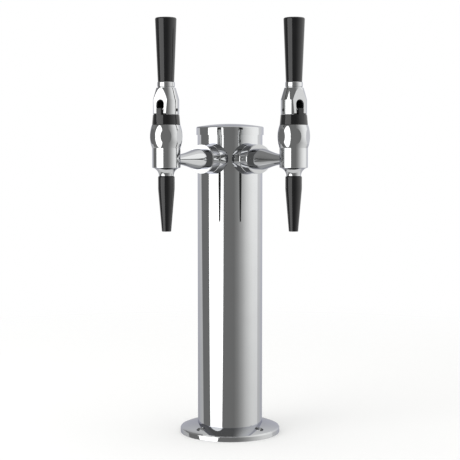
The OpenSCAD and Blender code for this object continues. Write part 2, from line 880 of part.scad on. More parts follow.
module spout() {
    top_z = neck_z - joint_gap;
    straight_z = top_z - spout_straight;
    top_r = spout_d / 2;
    edge = arc([top_r - spout_edge_r, top_z - spout_edge_r], spout_edge_r, 0, 90);
    socket_r = nipple_d / 2 + fit_gap;
    color(black)
        difference() {
            rotate_extrude()
                polygon(concat(
                    [[0, tip_z], [spout_tip_d / 2, tip_z], [top_r, straight_z]],
                    edge,
                    [[0, top_z]]
                ));
            translate([0, 0, tip_z - overcut])
                cylinder(d = spout_bore_d, h = spout_len + 2 * overcut);
            translate([0, 0, disc_z - joint_gap])
                cylinder(r = socket_r, h = top_z - disc_z + joint_gap + overcut);
            translate([0, 0, top_z - spout_seal_h - joint_gap])
                cylinder(r = socket_r + spout_seal_t + fit_gap, h = spout_seal_h + joint_gap + overcut);
        }
}

base_flange();
column();
top_cap();
cap_ring();
on_arm(left) shank();  // left_shank
on_arm(left) shank_collar();  // left_shank_collar
on_arm(left) saddle_washer();  // left_saddle_washer
on_arm(left) shank_nut();  // left_shank_nut
on_arm(left) drop_tube();  // left_drop_tube
on_arm(left) coupling_nut();  // left_coupling_nut
on_arm(left) keeper_ring();  // left_keeper_ring
on_arm(left) tail_gasket();  // left_tail_gasket
on_arm(left) faucet_body();  // left_faucet_body
on_arm(left) guide_collar();  // left_guide_collar
on_arm(left) stem_packing();  // left_stem_packing
on_arm(left) valve_stem();  // left_valve_stem
on_arm(left) seat_washer();  // left_seat_washer
on_arm(left) lever_bonnet();  // left_lever_bonnet
on_arm(left) window_liner();  // left_window_liner
on_arm(left) pivot_pin();  // left_pivot_pin
on_arm(left) ferrule();  // left_ferrule
on_arm(left) handle_stud();  // left_handle_stud
on_arm(left) handle();  // left_handle
on_arm(left) spout_seal();  // left_spout_seal
on_arm(left) restrictor_disc();  // left_restrictor_disc
on_arm(left) flow_straightener();  // left_flow_straightener
on_arm(left) spout();  // left_spout
on_arm(right) shank();  // right_shank
on_arm(right) shank_collar();  // right_shank_collar
on_arm(right) saddle_washer();  // right_saddle_washer
on_arm(right) shank_nut();  // right_shank_nut
on_arm(right) drop_tube();  // right_drop_tube
on_arm(right) coupling_nut();  // right_coupling_nut
on_arm(right) keeper_ring();  // right_keeper_ring
on_arm(right) tail_gasket();  // right_tail_gasket
on_arm(right) faucet_body();  // right_faucet_body
on_arm(right) guide_collar();  // right_guide_collar
on_arm(right) stem_packing();  // right_stem_packing
on_arm(right) valve_stem();  // right_valve_stem
on_arm(right) seat_washer();  // right_seat_washer
on_arm(right) lever_bonnet();  // right_lever_bonnet
on_arm(right) window_liner();  // right_window_liner
on_arm(right) pivot_pin();  // right_pivot_pin
on_arm(right) ferrule();  // right_ferrule
on_arm(right) handle_stud();  // right_handle_stud
on_arm(right) handle();  // right_handle
on_arm(right) spout_seal();  // right_spout_seal
on_arm(right) restrictor_disc();  // right_restrictor_disc
on_arm(right) flow_straightener();  // right_flow_straightener
on_arm(right) spout();  // right_spout
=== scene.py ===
import json
import math

import bmesh
import bpy
from bpy.props import FloatProperty, FloatVectorProperty, IntProperty, PointerProperty
from bpy.types import Operator, Panel, PropertyGroup
from mathutils import Matrix, Vector


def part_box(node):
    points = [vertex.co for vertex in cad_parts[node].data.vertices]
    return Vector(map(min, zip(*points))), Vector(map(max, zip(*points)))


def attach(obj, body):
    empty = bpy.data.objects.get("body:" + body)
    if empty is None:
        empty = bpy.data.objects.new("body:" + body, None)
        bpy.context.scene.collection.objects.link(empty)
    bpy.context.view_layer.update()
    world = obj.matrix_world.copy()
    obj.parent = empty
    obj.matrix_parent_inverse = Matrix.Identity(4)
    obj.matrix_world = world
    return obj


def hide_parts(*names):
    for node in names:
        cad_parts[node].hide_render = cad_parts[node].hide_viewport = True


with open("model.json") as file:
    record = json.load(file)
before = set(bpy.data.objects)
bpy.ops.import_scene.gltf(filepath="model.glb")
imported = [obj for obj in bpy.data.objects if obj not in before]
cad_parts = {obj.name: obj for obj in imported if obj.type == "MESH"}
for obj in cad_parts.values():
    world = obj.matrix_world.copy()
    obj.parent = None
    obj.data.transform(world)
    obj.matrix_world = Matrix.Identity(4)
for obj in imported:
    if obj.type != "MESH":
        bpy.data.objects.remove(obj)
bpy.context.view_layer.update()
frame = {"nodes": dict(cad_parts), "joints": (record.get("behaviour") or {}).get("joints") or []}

bl_info = {
    "name": "Drink tower finish",
    "version": (1, 0, 0),
    "blender": (4, 5, 0),
    "location": "3D View > Sidebar > Drink tower",
    "description": "Turns, polishes and lights the pieces of a two-faucet drink dispensing tower",
    "category": "Object",
}

MM = 0.001
SIDES = ("left", "right")

# Facets round a turned piece, enough for a mirror finish
FACETS = 192
WIDE_FACETS = 256
HOLE_FACETS = 64
PIN_FACETS = 48
# Steps of an arc that rounds a corner, and the least turn that counts as a corner
ROUND_STEPS = 8
CORNER_TURN = math.radians(13)
# Radius of a round that has no size of its own
SOFT_EDGE = 0.3 * MM
# Most of a side that a round may take, and how far from the corner its straight lead starts
ROUND_SHARE = 0.3
LEAD_START = 1.4
# Space between two points that keep a corner sharp
SHARP = 0.02 * MM
# Edges that turn more than this stay crisp
CRISP_TURN = math.radians(12.5)
AXIS_TOLERANCE = 0.001 * MM
# Turns a solid that was pushed along Z to lie along X
ALONG_X = Matrix(((0, 0, 1), (1, 0, 0), (0, 1, 0))).to_4x4()

# Share of the flange's outer swell that its face takes, before the rim's round
FACE_SHARE = 0.9
# A tail draws in fastest near its root, and a bonnet's shoulder is all but straight
FLARE_POWER = 0.7
SHOULDER_POWER = 1.05
STOP_STEPS = 8

# Most values of a noise pattern lie in this range
NOISE_RANGE = {"From Min": 0.3, "From Max": 0.7}

FLOOR_STEPS = 96
# Shares of the floor's radius between which it fades out
FLOOR_FADE = (0.3, 0.95)
WALL_STEPS = 180
# Tones of the studio wall at angles in degrees from the camera's direction, to the right
WALL_DARK = "#737373"
WALL_TONES = (
    (-180, "#b2b2b2"), (-150, "#d2d2d2"), (-119, "#cecece"), (-118, WALL_DARK), (14, WALL_DARK),
    (28, "#8d8d8d"), (43, "#b2b2b2"), (58, "#d6d6d6"), (75, "#eeeeee"), (88, "#f8f8f8"),
    (114, "#fcfcfc"), (115, "#dadada"), (150, "#dadada"), (180, "#b2b2b2"),
)
# Heights in metres between which the wall brightens upwards, and how far
WALL_RISE = {"From Min": -0.6, "From Max": 0.35, "To Min": 0.75, "To Max": 1.126}
# Angles between which the wall's left side fades in, at its front and at its back
LEFT_EDGES = ((-80, -105), (-166, -152))
# Turn of the left side's tones, in radians for each metre that they rise
LEFT_LEAN = 0.25
# Heights in metres between which the left side turns dark high up and light below the counter
LEFT_PARTS = ((0.4, 0.9, "#868686"), (-0.8, -1.1, "#c2c2c2"))


def linear(code):
    """Turn an sRGB hex colour into linear red, green and blue, with full alpha"""
    shares = [int(code[i:i + 2], 16) / 255 for i in (1, 3, 5)]
    tones = [s / 12.92 if s <= 0.04045 else ((s + 0.055) / 1.055) ** 2.4 for s in shares]
    return (*tones, 1.0)


def length(name, description, millimetres):
    """A size in millimetres, kept in Blender's metres"""
    return FloatProperty(name=name, description=description, default=millimetres * MM, min=0.0,
                         unit="LENGTH", subtype="DISTANCE")


def angle(name, description, degrees):
    """An angle in degrees, kept in Blender's radians"""
    return FloatProperty(name=name, description=description, default=math.radians(degrees),
                         unit="ROTATION", subtype="ANGLE")


def colour(name, description, code):
    """A colour given as an sRGB hex value"""
    return FloatVectorProperty(name=name, description=description, default=linear(code), size=4,
                               min=0.0, max=1.0, subtype="COLOR")


class FlangeSizes(PropertyGroup):
    rim: length("Rim height", "Height of the flange at its rim", 6)
    edge: length("Rim round", "Radius on the rim's upper edge", 1.2)
    crown: length("Crown", "Height that the upper face swells over a straight slope", 0.75)
    socket: length("Socket depth", "Depth of the column's socket", 3)
    passage: length("Passage radius", "Radius of the passage for the drink lines", 33)
    bolt_circle: length("Bolt circle", "Radius of the circle of bolt holes", 48)
    bolt_hole: length("Bolt hole", "Diameter of a bolt hole", 5.5)
    bolt_head: length("Countersink", "Diameter of a bolt hole's countersink", 10)
    bolts: IntProperty(name="Bolts", description="Number of bolt holes", default=4, min=3, max=8)


class ColumnSizes(PropertyGroup):
    wall: length("Column wall", "Wall thickness of the column", 1.5)
    cap_wall: length("Cap wall", "Wall thickness of the cap", 1.3)
    crown: length("Crown radius", "Radius of the cap's domed top", 220)
    cap_edge: length("Cap edge", "Radius on the cap's upper edge", 1.7)
    lip: length("Ring lip", "Thickness of the cap ring's lip with its gap", 1.3)


class ArmSizes(PropertyGroup):
    hole: length("Shank hole", "Radius of the hole for the shank", 11.15)
    saddle: length("Saddle radius", "Radius of the shank collar at the column", 18)
    collar_end: length("Collar end", "Radius of the shank collar's outer end", 16.6)
    collar_len: length("Collar length", "Length of the shank collar outside the column", 9.9)
    gap: length("Gap", "Gap between pieces drawn up together", 0.1)
    nut: length("Nut radius", "Radius of the coupling nut", 16.7)
    nut_len: length("Nut length", "Length of the coupling nut", 14.3)
    chamfer: length("Chamfer", "Chamfer on the ends of the collar and of the nut", 0.7)


class BodySizes(PropertyGroup):
    rim: length("Tail rim", "Radius of the tail's rim", 16.4)
    rim_len: length("Rim length", "Length of the tail's rim", 0.6)
    root: length("Tail root", "Radius of the tail at the flat face of its rim", 11.8)
    root_len: length("Root length", "Length of the tail's straight root", 7)
    tail_end: length("Tail end", "Radius of the tail where it enters the barrel", 5.2)
    barrel: length("Barrel radius", "Radius of the barrel", 15.375)
    below: length("Barrel below", "Length of the barrel below the shank axis", 9)
    above: length("Barrel above", "Length of the barrel above the shank axis", 12.7)
    bulb: length("Bulb height", "Height of the swollen part of the barrel", 25)
    swell: length("Bulb swell", "Height of the swelling over the barrel's side", 2.2)
    flats: IntProperty(name="Flats", description="Number of wrench flats", default=6, min=4, max=8)
    flat: length("Flat depth", "Depth of the wrench flats", 1)
    flat_turn: angle("Flat turn", "Turn of the wrench flats", 3.5)
    bevel: length("Barrel bevel", "Bevel on the lower edge of the barrel", 1)
    neck: length("Neck height", "Height of the hollowed neck under the barrel", 8.5)
    neck_top: length("Neck top", "Radius of the neck at the barrel", 13.75)
    neck_end: length("Neck end", "Radius of the neck at the spout", 8)
    nipple: length("Nipple radius", "Radius of the nipple for the spout", 6)
    nipple_len: length("Nipple length", "Length of the nipple", 9)


class CollarSizes(PropertyGroup):
    height: length("Height", "Height of the guide collar above the barrel", 10.9)
    top: length("Top radius", "Radius of the guide collar at its top", 14.35)
    edge: length("Edge", "Radius on the guide collar's edges", 0.6)
    plug: length("Plug radius", "Radius of the collar's plug in the barrel", 9.95)
    front: length("Front", "Distance of the tongue's back from the faucet axis", 12.4)
    tongue_width: length("Tongue width", "Width of the front tongue", 6.6)
    tongue_depth: length("Tongue depth", "Thickness of the front tongue", 1.9)
    tongue_rise: length("Tongue rise", "Height of the tongue above the collar", 6.8)
    tongue_edge: length("Tongue edge", "Rounding of the tongue's edges", 0.35)
    stop_rise: length("Stop rise", "Height of the stop blocks above the collar", 1.4)
    stop_space: length("Stop space", "Space between the tongue and a stop block", 1.8)
    stem_hole: length("Stem hole", "Radius of the hole for the valve stem", 3.05)


class LeverSizes(PropertyGroup):
    side: length("Bonnet radius", "Radius of the bonnet's straight side", 14.15)
    side_rise: length("Side height", "Height of the bonnet's straight side", 15.6)
    top: length("Bonnet top", "Radius of the bonnet at its top", 10.4)
    flat: length("Flat", "Distance of the front flat's lower edge from the faucet axis", 12)
    lean: angle("Flat lean", "Angle that the front flat leans back", 3)
    window: length("Window width", "Width of the arched window", 10)
    window_rise: length("Window rise", "Height of the arch centre above the pivot pin", 6.3)
    slot: length("Slot width", "Width of the slot for the stem's eye", 7.8)
    pocket: length("Pocket depth", "Depth of the pocket behind the faucet axis", 7.1)
    pin: length("Pin hole", "Radius of the hole for the pivot pin", 1.275)
    pin_head: length("Pin head", "Radius of the hole for the pivot pin's ends", 1.9)
    pin_end: length("Pin end", "Distance of the pivot pin's ends from the faucet axis", 14)
    play: length("Play", "Clearance around the pivot pin", 0.05)
    stud: length("Stud hole", "Radius of the hole for the handle stud", 3.55)
    groove: length("Groove", "Depth of the groove at the foot of the ferrule", 0.5)
    edge: length("Edge", "Radius on the edges of the pin and the ferrule", 0.2)


class HandleSizes(PropertyGroup):
    low: length("Lower radius", "Radius of the handle at the ferrule", 8.875)
    low_edge: length("Lower edge", "Radius on the handle's lower edge", 0.5)
    edge: length("Edge", "Radius on the handle's upper edge", 1.8)
    dome: length("Dome", "Rise of the handle's domed end", 0.8)


class SpoutSizes(PropertyGroup):
    tip: length("Tip radius", "Radius of the spout's tip", 5.1)
    straight: length("Straight", "Length of the spout's straight part", 14)
    edge: length("Edge", "Radius on the spout's upper edge", 1.6)
    bore: length("Bore", "Radius of the spout's bore", 3.5)
    socket: length("Socket", "Radius of the socket for the nipple", 6.05)
    seal: length("Seal seat", "Radius of the seat for the rubber ring", 7.4)


class FinishSettings(PropertyGroup):
    steel: colour("Buffed steel", "Colour of the buffed stainless steel", "#c4c5c5")
    steel_haze: colour("Steel haze", "Colour of the buffed steel where it is hazy", "#bdbebe")
    # Glancing tint of the steel: its grey is the steel's own, and its blue cast is a painted
    # reflection of a bluish surround
    steel_edge_painted_blue: colour("Steel edge", "Colour of the buffed steel at a glancing angle", "#d6d7e2")
    turned: colour("Turned steel", "Colour of the turned stainless steel inside", "#b9babc")
    oxide: colour("Black oxide", "Colour of the blackened steel pins", "#232325")
    oxide_thick: colour("Thick oxide", "Colour of the oxide where it is thicker", "#121213")
    plastic: colour("Black plastic", "Colour of the moulded black plastic", "#0a0a0b")
    plastic_worn: colour("Worn plastic", "Colour of the plastic where it is handled", "#121213")
    rubber: colour("Rubber", "Colour of the moulded rubber", "#2a2a2b")
    nylon: colour("Nylon", "Colour of the natural nylon", "#dedbd0")
    floor: colour("Floor", "Colour of the painted floor", "#f7f7f6")


class StageSettings(PropertyGroup):
    distance: length("Camera distance", "Distance of the camera in front of the column", 1464)
    height: length("Camera height", "Height of the camera above the counter", 341.9)
    pitch: angle("Camera pitch", "Angle that the camera looks down", 3.99)
    lens: FloatProperty(name="Lens", description="Focal length of the camera", default=97.4,
                        unit="CAMERA")
    floor: length("Floor radius", "Radius of the floor before it fades out", 1400)
    wall: length("Wall radius", "Distance of the grey studio wall", 3000)
    wall_top: length("Wall top", "Height of the wall above the counter", 8000)
    wall_foot: length("Wall foot", "Depth of the wall below the counter", 2600)
    glow: FloatProperty(name="Wall glow", description="Strength of the wall in reflections",
                        default=1.45, min=0.0)
    softbox: length("Softbox distance", "Distance of the softbox", 2000)
    softbox_rise: length("Softbox height", "Height of the softbox above the counter", 330)
    softbox_turn: angle("Softbox turn", "Angle of the softbox to the left of the camera", 51)
    softbox_wide: angle("Softbox width", "Half the angle that the softbox spans across", 28.5)
    softbox_tall: angle("Softbox length", "Half the angle that the softbox spans upwards", 33)
    power: FloatProperty(name="Softbox power", description="Power of the softbox", default=30,
                         unit="POWER")


class TowerSettings(PropertyGroup):
    flange: PointerProperty(type=FlangeSizes)
    column: PointerProperty(type=ColumnSizes)
    arm: PointerProperty(type=ArmSizes)
    body: PointerProperty(type=BodySizes)
    collar: PointerProperty(type=CollarSizes)
    lever: PointerProperty(type=LeverSizes)
    handle: PointerProperty(type=HandleSizes)
    spout: PointerProperty(type=SpoutSizes)
    finish: PointerProperty(type=FinishSettings)
    stage: PointerProperty(type=StageSettings)


def add_node(tree, kind, settings=None, inputs=None):
    """Add a node with its settings, and give each named input a value or a link"""
    made = tree.nodes.new(kind)
    for name, value in (settings or {}).items():
        setattr(made, name, value)
    for name, value in (inputs or {}).items():
        if isinstance(value, bpy.types.NodeSocket):
            tree.links.new(value, made.inputs[name])
        else:
            made.inputs[name].default_value = value
    return made


def new_material(maker, tower):
    """A material named for its maker, which gives a shader or a principled shader's inputs"""
    made = bpy.data.materials.new(maker.__name__)
    made.use_nodes = True
    tree = made.node_tree
    tree.nodes.clear()
    surface = maker(tree, add_node(tree, "ShaderNodeTexCoord").outputs["Object"], tower)
    if isinstance(surface, dict):
        surface = add_node(tree, "ShaderNodeBsdfPrincipled", inputs=surface).outputs["BSDF"]
    add_node(tree, "ShaderNodeOutputMaterial", inputs={"Surface": surface})
    return made


def surface_feel(tree, shine, rough, height, strength, depth):
    """Roughness between two values that follows one pattern, and relief that follows another"""
    gloss = add_node(tree, "ShaderNodeMapRange", inputs={
        "Value": shine, **NOISE_RANGE, "To Min": rough[0], "To Max": rough[1]})
    relief = add_node(tree, "ShaderNodeBump", inputs={
        "Strength": strength, "Distance": depth, "Height": height})
    return {"Roughness": gloss.outputs["Result"], "Normal": relief.outputs["Normal"]}


def buffed_stainless_steel(tree, place, tower):
    """Mirror-buffed stainless steel"""
    # Buffing leaves a mirror with a faint cloudy haze and hairlines along the length of a piece
    finish = tower.finish
    # Clouds of haze are about 25 mm wide
    haze = add_node(tree, "ShaderNodeTexNoise", inputs={
        "Vector": place, "Scale": 1 / (25 * MM), "Detail": 4.0}).outputs["Fac"]
    # Hairlines of 0.02 mm are too fine to show, so they are drawn 0.5 mm wide and 30 mm long
    along = add_node(tree, "ShaderNodeMapping", inputs={
        "Vector": place, "Scale": (1 / (0.5 * MM), 1 / (0.5 * MM), 1 / (30 * MM))})
    hairlines = add_node(tree, "ShaderNodeTexNoise", inputs={
        "Vector": along.outputs["Vector"], "Scale": 1.0, "Detail": 2.0}).outputs["Fac"]
    tint = add_node(tree, "ShaderNodeMix", {"data_type": "RGBA"}, {
        "Factor": haze, "A": finish.steel, "B": finish.steel_haze})
    feel = surface_feel(tree, haze, (0.03, 0.06), hairlines, strength=0.15, depth=0.003 * MM)
    # The glancing tint's blue cast is a painted reflection of a bluish surround
    return {"Base Color": tint.outputs["Result"], "Metallic": 1.0,
            "Specular Tint": finish.steel_edge_painted_blue, **feel}


def turned_stainless_steel(tree, place, tower):
    """Stainless steel straight from the lathe"""
    # A turning tool leaves fine marks that spread the light into a soft satin sheen
    # Feed marks of 0.1 mm are too fine to show, so they are drawn 0.6 mm apart
    marks = add_node(tree, "ShaderNodeTexNoise", inputs={
        "Vector": place, "Scale": 1 / (0.6 * MM), "Detail": 2.0}).outputs["Fac"]
    feel = surface_feel(tree, marks, (0.2, 0.32), marks, strength=0.4, depth=0.01 * MM)
    return {"Base Color": tower.finish.turned, "Metallic": 1.0, **feel}


def blackened_spring_steel(tree, place, tower):
    """Spring steel with a hot black oxide"""
    # The oxide leaves a dark, oily grey that is a little cloudy
    finish = tower.finish
    # The clouds are about 1 mm wide
    clouds = add_node(tree, "ShaderNodeTexNoise", inputs={
        "Vector": place, "Scale": 1 / (1 * MM), "Detail": 3.0}).outputs["Fac"]
    tint = add_node(tree, "ShaderNodeMix", {"data_type": "RGBA"}, {
        "Factor": clouds, "A": finish.oxide, "B": finish.oxide_thick})
    return {"Base Color": tint.outputs["Result"], "Metallic": 1.0, "Roughness": 0.35}


def moulded_black_acetal(tree, place, tower):
    """Black acetal from a polished mould"""
    # A polished mould gives a deep black with a sharp sheen that wavers a little, as orange peel
    finish = tower.finish
    # Handling dulls patches about 9 mm wide, and the orange peel is 2.5 mm from crest to crest
    patches = add_node(tree, "ShaderNodeTexNoise", inputs={
        "Vector": place, "Scale": 1 / (9 * MM), "Detail": 5.0}).outputs["Fac"]
    peel = add_node(tree, "ShaderNodeTexNoise", inputs={
        "Vector": place, "Scale": 1 / (2.5 * MM), "Detail": 1.0}).outputs["Fac"]
    tint = add_node(tree, "ShaderNodeMix", {"data_type": "RGBA"}, {
        "Factor": patches, "A": finish.plastic, "B": finish.plastic_worn})
    feel = surface_feel(tree, patches, (0.07, 0.12), peel, strength=0.3, depth=0.01 * MM)
    return {"Base Color": tint.outputs["Result"], "IOR": 1.48, **feel}


def moulded_nitrile_rubber(tree, place, tower):
    """Black nitrile rubber"""
    # Rubber has a dull, slightly dusty face with a fine grain
    # Grain of 0.4 mm, as a spark-eroded mould leaves it
    grain = add_node(tree, "ShaderNodeTexNoise", inputs={
        "Vector": place, "Scale": 1 / (0.4 * MM), "Detail": 3.0}).outputs["Fac"]
    feel = surface_feel(tree, grain, (0.55, 0.75), grain, strength=0.5, depth=0.02 * MM)
    return {"Base Color": tower.finish.rubber, "IOR": 1.52, **feel}


def moulded_natural_nylon(tree, place, tower):
    """Natural nylon, unpigmented"""
    # Natural nylon is a milky ivory that lets a little light in and has a waxy gloss
    # Flow marks about 6 mm wide cloud the gloss
    flow = add_node(tree, "ShaderNodeTexNoise", inputs={
        "Vector": place, "Scale": 1 / (6 * MM), "Detail": 3.0}).outputs["Fac"]
    feel = surface_feel(tree, flow, (0.32, 0.45), flow, strength=0.2, depth=0.02 * MM)
    return {"Base Color": tower.finish.nylon, "IOR": 1.53, "Subsurface Weight": 0.1,
            "Subsurface Scale": 1 * MM, **feel}


def matt_painted_floor(tree, place, tower):
    """Matt paint on a studio floor"""
    # Matt paint keeps a soft shadow with no gloss, and it fades out into the white around it
    reach = tower.stage.floor
    away = add_node(tree, "ShaderNodeVectorMath", {"operation": "LENGTH"}, {0: place})
    keep = add_node(tree, "ShaderNodeMapRange", {"interpolation_type": "SMOOTHSTEP"}, {
        "Value": away.outputs["Value"], "From Min": FLOOR_FADE[0] * reach,
        "From Max": FLOOR_FADE[1] * reach, "To Min": 1.0, "To Max": 0.0}).outputs["Result"]
    paint = add_node(tree, "ShaderNodeBsdfDiffuse", inputs={"Color": tower.finish.floor})
    clear = add_node(tree, "ShaderNodeBsdfTransparent")
    return add_node(tree, "ShaderNodeMixShader", inputs={
        0: keep, 1: clear.outputs["BSDF"], 2: paint.outputs["BSDF"]}).outputs["Shader"]


def graded_studio_wall(tree, place, tower):
    """A studio wall lit in grades"""
    # Dark in front and bright on the right, it gives the mirror steel its bands
    parts = add_node(tree, "ShaderNodeSeparateXYZ", inputs={"Vector": place}).outputs
    ahead = add_node(tree, "ShaderNodeMath", {"operation": "MULTIPLY"}, {0: parts["Y"], 1: -1.0})
    turn = add_node(tree, "ShaderNodeMath", {"operation": "ARCTAN2"}, {
        0: parts["X"], 1: ahead.outputs["Value"]}).outputs["Value"]
    left = 1.0
    for start, end in LEFT_EDGES:
        edge = add_node(tree, "ShaderNodeMapRange", {"interpolation_type": "SMOOTHSTEP"}, {
            "Value": turn, "From Min": math.radians(start), "From Max": math.radians(end)})
        left = add_node(tree, "ShaderNodeMath", {"operation": "MULTIPLY"}, {
            0: left, 1: edge.outputs["Result"]}).outputs["Value"]
    # On the left the dark part leans back as it rises
    lean = add_node(tree, "ShaderNodeMath", {"operation": "MULTIPLY"}, {
        0: parts["Z"], 1: LEFT_LEAN})
    leaning = add_node(tree, "ShaderNodeMath", {"operation": "MULTIPLY_ADD"}, {
        0: left, 1: lean.outputs["Value"], 2: turn})
    share = add_node(tree, "ShaderNodeMapRange", inputs={
        "Value": leaning.outputs["Value"], "From Min": -math.pi, "From Max": math.pi})
    grades = add_node(tree, "ShaderNodeValToRGB", inputs={"Fac": share.outputs["Result"]})
    stops = grades.color_ramp.elements
    for degrees, code in WALL_TONES[1:-1]:
        stops.new((degrees + 180) / 360).color = linear(code)
    for i in (0, -1):
        stops[i].color = linear(WALL_TONES[i][1])
    # The wall brightens upwards, apart from its dark front
    rise = add_node(tree, "ShaderNodeMapRange", inputs={"Value": parts["Z"], **WALL_RISE})
    tone = add_node(tree, "ShaderNodeMix", {"data_type": "RGBA", "clamp_factor": False}, {
        "Factor": rise.outputs["Result"], "A": linear(WALL_DARK),
        "B": grades.outputs["Color"]}).outputs["Result"]
    for start, end, code in LEFT_PARTS:
        reach = add_node(tree, "ShaderNodeMapRange", {"interpolation_type": "SMOOTHSTEP"}, {
            "Value": parts["Z"], "From Min": start, "From Max": end})
        cover = add_node(tree, "ShaderNodeMath", {"operation": "MULTIPLY"}, {
            0: reach.outputs["Result"], 1: left})
        tone = add_node(tree, "ShaderNodeMix", {"data_type": "RGBA"}, {
            "Factor": cover.outputs["Value"], "A": tone, "B": linear(code)}).outputs["Result"]
    return add_node(tree, "ShaderNodeEmission", inputs={
        "Color": tone, "Strength": tower.stage.glow}).outputs["Emission"]


FINISHES = {
    "polished_steel": buffed_stainless_steel,
    "turned_steel": turned_stainless_steel,
    "black_steel": blackened_spring_steel,
    "black_plastic": moulded_black_acetal,
    "rubber": moulded_nitrile_rubber,
    "white_plastic": moulded_natural_nylon,
}


def finish_for(context, kind):
    """The material of a finish, made once"""
    maker = FINISHES[kind]
    return bpy.data.materials.get(maker.__name__) or new_material(maker, context.scene.tower)


def arc(centre, radius, start, end, steps):
    """Points on an arc in an outline, between two angles in radians"""
    turns = [start + (end - start) * i / steps for i in range(steps + 1)]
    return [(centre[0] + radius * math.cos(t), centre[1] + radius * math.sin(t)) for t in turns]


def arc_radius(half, rise):
    """Radius of an arc from half its width and its rise"""
    return (half ** 2 + rise ** 2) / (2 * rise)


def eased(start, end, steps, ease):
    """Points of an outline between two points, its radius eased as its height goes on"""
    shares = [i / steps for i in range(steps + 1)]
    return [(start[0] + (end[0] - start[0]) * ease(s), start[1] + (end[1] - start[1]) * s)
            for s in shares]


def softened(outline, radius=SOFT_EDGE):
    """Round the sharp corners of a closed outline, with short straight leads into each round"""
    rounded = []
    for i, point in enumerate(outline):
        corner = Vector(point)
        before = Vector(outline[i - 1]) - corner
        after = Vector(outline[(i + 1) % len(outline)]) - corner
        half = before.angle(after) / 2
        if corner.x < AXIS_TOLERANCE or math.pi - 2 * half < CORNER_TURN:
            rounded.append(corner)
            continue
        cut = min(radius / math.tan(half), ROUND_SHARE * before.length, ROUND_SHARE * after.length)
        before.normalize()
        after.normalize()
        centre = corner + (before + after).normalized() * (cut / math.cos(half))
        first = corner + before * cut - centre
        last = corner + after * cut - centre
        start = math.atan2(first.y, first.x)
        sweep = math.remainder(math.atan2(last.y, last.x) - start, 2 * math.pi)
        rounded.append(corner + before * LEAD_START * cut)
        rounded += arc(centre, first.length, start, start + sweep, ROUND_STEPS)
        rounded.append(corner + after * LEAD_START * cut)
    return rounded


def turned(outline, facets=FACETS):
    """A solid turned about Z from a closed outline of radius and height"""
    made = bmesh.new()
    turns = [2 * math.pi * i / facets for i in range(facets)]
    rings = []
    for radius, height in outline:
        if radius < AXIS_TOLERANCE:
            rings.append([made.verts.new((0, 0, height))])
            continue
        rings.append([made.verts.new((radius * math.cos(t), radius * math.sin(t), height))
                      for t in turns])
    for low, high in zip(rings, rings[1:] + rings[:1]):
        if len(low) == len(high) == 1:
            continue
        for i in range(facets):
            j = (i + 1) % facets
            corners = (low[i % len(low)], low[j % len(low)],
                       high[j % len(high)], high[i % len(high)])
            made.faces.new(list(dict.fromkeys(corners)))
    bmesh.ops.recalc_face_normals(made, faces=made.faces)
    return made


def block(low, high):
    """A block between two corners, for cutting and joining"""
    made = bmesh.new()
    bmesh.ops.create_cube(made, size=1.0)
    size = Vector(high) - Vector(low)
    middle = (Vector(high) + Vector(low)) / 2
    made.transform(Matrix.Translation(middle) @ Matrix.Diagonal((*size, 1)))
    return made


def pushed(outline, start, end):
    """A solid drawn as points of X and Y and pushed along Z"""
    made = bmesh.new()
    first = [made.verts.new((x, y, start)) for x, y in outline]
    last = [made.verts.new((x, y, end)) for x, y in outline]
    made.faces.new(first)
    made.faces.new(last)
    for i in range(len(outline)):
        made.faces.new((first[i - 1], first[i], last[i], last[i - 1]))
    bmesh.ops.recalc_face_normals(made, faces=made.faces)
    return made


def spool(end, wide, seat, narrow):
    """Outline of a pin with broader ends, about its middle"""
    return [(0, -end), (wide, -end), (wide, -seat), (narrow, -seat),
            (narrow, seat), (wide, seat), (wide, end), (0, end)]


def placed(name, solid, *finishes):
    """An object in the scene that holds a solid"""
    mesh = bpy.data.meshes.new(name)
    solid.to_mesh(mesh)
    solid.free()
    for finish in finishes:
        mesh.materials.append(finish)
    made = bpy.data.objects.new(name, mesh)
    bpy.context.scene.collection.objects.link(made)
    return made


def worked(solid, *tools, join=False):
    """Cut the tools out of a solid, or join them to it"""
    base = placed("scratch", solid)
    passing = [base]
    for tool in tools:
        passing.append(placed("scratch", tool))
        step = base.modifiers.new("work", "BOOLEAN")
        step.operation = "UNION" if join else "DIFFERENCE"
        step.solver = "EXACT"
        step.object = passing[-1]
    ready = base.evaluated_get(bpy.context.evaluated_depsgraph_get())
    result = bpy.data.meshes.new_from_object(ready)
    made = bmesh.new()
    made.from_mesh(result)
    bpy.data.meshes.remove(result)
    for item in passing:
        mesh = item.data
        bpy.data.objects.remove(item)
        bpy.data.meshes.remove(mesh)
    return made


def piece(context, name, solid, place, kind, body, *nodes):
    """Put a finished solid in its place, in its finish, on the body that carries it"""
    solid.transform(place)
    made = placed(name, solid, finish_for(context, kind))
    made.data.shade_smooth()
    made.data.set_sharp_from_angle(angle=CRISP_TURN)
    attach(made, body)
    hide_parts(*nodes)


def heights(node):
    """Lowest and highest point of a CAD node"""
    low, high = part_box(node)
    return low.z, high.z


def half_width(node):
    """Radius of a CAD node that is turned about an upright axis"""
    low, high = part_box(node)
    return (high.x - low.x) / 2


def faucet_axis(side):
    """Where a faucet's axis stands, and the pivot pin's height on it"""
    for joint in frame["joints"]:
        if joint["name"] == side + "_lever_tilt":
            return Vector(joint["pos_m"])
    raise RuntimeError("no lever joint on the " + side)


def arm_turn(side):
    """Rotation that points X outwards along an arm"""
    axis = faucet_axis(side)
    return Matrix.Rotation(math.atan2(axis.y, axis.x), 4, "Z")


def on_faucet(side):
    """Place of a faucet's own frame, with heights from the counter"""
    axis = faucet_axis(side)
    return Matrix.Translation((axis.x, axis.y, 0)) @ arm_turn(side)


def across(height):
    """Place of a piece that lies across a faucet at a height, along its own Z"""
    return Matrix.Translation((0, 0, height)) @ Matrix.Rotation(math.pi / 2, 4, "X")


def shank_height(side):
    """Height of the axis that an arm's pieces are turned about"""
    low, high = heights(side + "_coupling_nut")
    return (low + high) / 2


